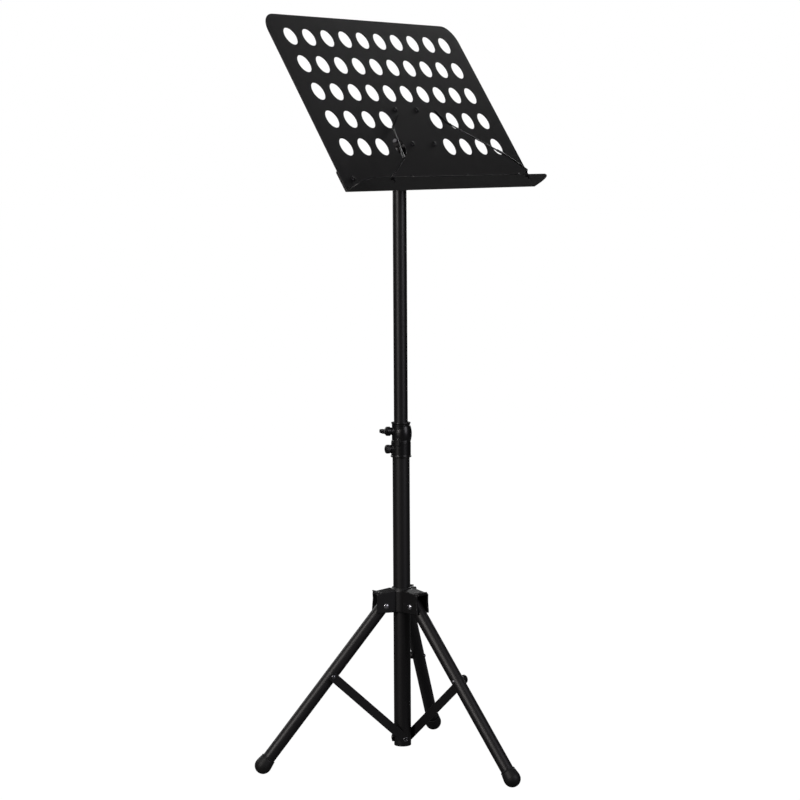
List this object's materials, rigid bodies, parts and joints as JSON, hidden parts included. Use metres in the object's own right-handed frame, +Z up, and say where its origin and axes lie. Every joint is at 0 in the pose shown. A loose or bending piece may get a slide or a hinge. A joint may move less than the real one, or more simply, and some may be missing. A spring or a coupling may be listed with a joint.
{
  "type": "music stand",
  "caption": "Folding tripod music stand with a telescopic column, a perforated tilting desk, a tray and two swinging page holders.",
  "frame": {"origin": "column axis where it meets the floor under the three feet", "axes": "+Z up along the column; the desk faces -Y and its width runs along X"},
  "size_m": [0.512, 0.3747, 1.1025],
  "materials": {
    "powder_coat": "satin black powder coat on steel",
    "gloss_plastic": "glossy black moulded plastic",
    "nylon": "plain black nylon",
    "bright_steel": "zinc-plated steel",
    "fibre": "dark fibre washer",
    "rubber": "matte black rubber",
    "black_wire": "black-coated spring wire"
  },
  "bodies": {
    "lower_column": {"lower_tube": "powder_coat", "column_foot_plug": "nylon", "column_bush": "nylon", "clutch_sleeve": "gloss_plastic", "clutch_collar": "gloss_plastic"},
    "hub": {"hub_body": "gloss_plastic", "hub_rivets": "bright_steel"},
    "hub_lock_screw": {"hub_lock_stud": "bright_steel", "hub_lock_knob": "gloss_plastic"},
    "wing_screw": {"wing_screw_stud": "bright_steel", "wing_screw_knob": "gloss_plastic"},
    "thumb_screw": {"thumb_screw_stud": "bright_steel", "thumb_screw_head": "gloss_plastic"},
    "glide": {"tube_glide": "nylon"},
    "upper_column": {"upper_tube": "powder_coat", "tilt_head": "gloss_plastic", "tilt_head_pin": "bright_steel"},
    "desk": {"desk_plate": "powder_coat", "tray": "powder_coat", "tray_rivets": "powder_coat", "desk_bracket": "powder_coat", "bracket_rivets": "powder_coat", "tilt_bolt": "bright_steel", "tilt_washers": "fibre"},
    "tilt_knob": {"tilt_knob": "gloss_plastic", "tilt_knob_nut": "bright_steel"},
    "rear_leg": {"rear_leg_tube": "powder_coat", "rear_leg_plug": "nylon", "rear_foot": "rubber", "rear_strut_rivet": "bright_steel", "rear_strut_spacer": "nylon"},
    "rear_strut": {"rear_strut": "powder_coat", "rear_strut_eyelet": "bright_steel"},
    "left_leg": {"left_leg_tube": "powder_coat", "left_leg_plug": "nylon", "left_foot": "rubber", "left_strut_rivet": "bright_steel", "left_strut_spacer": "nylon"},
    "left_strut": {"left_strut": "powder_coat", "left_strut_eyelet": "bright_steel"},
    "right_leg": {"right_leg_tube": "powder_coat", "right_leg_plug": "nylon", "right_foot": "rubber", "right_strut_rivet": "bright_steel", "right_strut_spacer": "nylon"},
    "right_strut": {"right_strut": "powder_coat", "right_strut_eyelet": "bright_steel"},
    "left_page_holder": {"left_holder_wire": "black_wire", "left_holder_ferrule": "black_wire", "left_holder_sleeve": "rubber", "left_holder_clip": "nylon"},
    "right_page_holder": {"right_holder_wire": "black_wire", "right_holder_ferrule": "black_wire", "right_holder_sleeve": "rubber", "right_holder_clip": "nylon"}
  },
  "joints": [
    {"name": "hub_slide", "type": "slide", "parent": "lower_column", "child": "hub", "axis": [0, 0, 1], "range_m": [0, 0.07503]},
    {"name": "rear_leg_fold", "type": "hinge", "parent": "hub", "child": "rear_leg", "pos_m": [0.02631, 0.00958, 0.241], "axis": [-0.342, 0.9397, 0], "range_deg": [0, 39.28]},
    {"name": "rear_strut_fold", "type": "hinge", "parent": "rear_leg", "child": "rear_strut", "pos_m": [0.10366, 0.03773, 0.14038], "axis": [0.342, -0.9397, 0], "range_deg": [0, 75.81]},
    {"name": "left_leg_fold", "type": "hinge", "parent": "hub", "child": "left_leg", "pos_m": [-0.02145, 0.018, 0.241], "axis": [-0.6428, -0.766, 0], "range_deg": [0, 39.28]},
    {"name": "left_strut_fold", "type": "hinge", "parent": "left_leg", "child": "left_strut", "pos_m": [-0.0845, 0.07091, 0.14038], "axis": [0.6428, 0.766, 0], "range_deg": [0, 75.81]},
    {"name": "right_leg_fold", "type": "hinge", "parent": "hub", "child": "right_leg", "pos_m": [-0.00486, -0.02757, 0.241], "axis": [0.9848, -0.1736, 0], "range_deg": [0, 39.28]},
    {"name": "right_strut_fold", "type": "hinge", "parent": "right_leg", "child": "right_strut", "pos_m": [-0.01915, -0.10863, 0.14038], "axis": [-0.9848, 0.1736, 0], "range_deg": [0, 75.81]},
    {"name": "height_slide", "type": "slide", "parent": "lower_column", "child": "glide", "axis": [0, 0, 1], "range_m": [-0.32, 0.07]},
    {"name": "column_swivel", "type": "hinge", "parent": "glide", "child": "upper_column", "pos_m": [0, 0, 0.45], "axis": [0, 0, 1], "continuous": true},
    {"name": "desk_tilt", "type": "hinge", "parent": "upper_column", "child": "desk", "pos_m": [0, 0, 0.93], "axis": [1, 0, 0], "range_deg": [-59, 26]},
    {"name": "tilt_knob_turn", "type": "hinge", "parent": "desk", "child": "tilt_knob", "pos_m": [0.02, 0, 0.93], "axis": [1, 0, 0], "range_deg": [0, 720]},
    {"name": "left_holder_swing", "type": "hinge", "parent": "desk", "child": "left_page_holder", "pos_m": [-0.184, -0.1098, 0.87348], "axis": [0, -0.515, -0.8572], "range_deg": [0, 181.5]},
    {"name": "right_holder_swing", "type": "hinge", "parent": "desk", "child": "right_page_holder", "pos_m": [0.184, -0.1098, 0.87348], "axis": [0, 0.515, 0.8572], "range_deg": [0, 175]},
    {"name": "wing_screw_turn", "type": "hinge", "parent": "lower_column", "child": "wing_screw", "pos_m": [-0.01532, 0.01286, 0.5], "axis": [-0.766, 0.6428, 0], "range_deg": [0, 720]},
    {"name": "thumb_screw_turn", "type": "hinge", "parent": "lower_column", "child": "thumb_screw", "pos_m": [-0.01532, 0.01286, 0.4735], "axis": [-0.766, 0.6428, 0], "range_deg": [0, 720]},
    {"name": "hub_knob_turn", "type": "hinge", "parent": "hub", "child": "hub_lock_screw", "pos_m": [0.00434, 0.02462, 0.247], "axis": [0.1736, 0.9848, 0], "range_deg": [0, 720]}
  ],
  "couplings": [
    {"joint": "rear_leg_fold", "follows": "hub_slide", "rad_per_m": 9.1387},
    {"joint": "rear_strut_fold", "follows": "hub_slide", "rad_per_m": 17.637},
    {"joint": "left_leg_fold", "follows": "hub_slide", "rad_per_m": 9.1387},
    {"joint": "left_strut_fold", "follows": "hub_slide", "rad_per_m": 17.637},
    {"joint": "right_leg_fold", "follows": "hub_slide", "rad_per_m": 9.1387},
    {"joint": "right_strut_fold", "follows": "hub_slide", "rad_per_m": 17.637}
  ]
}
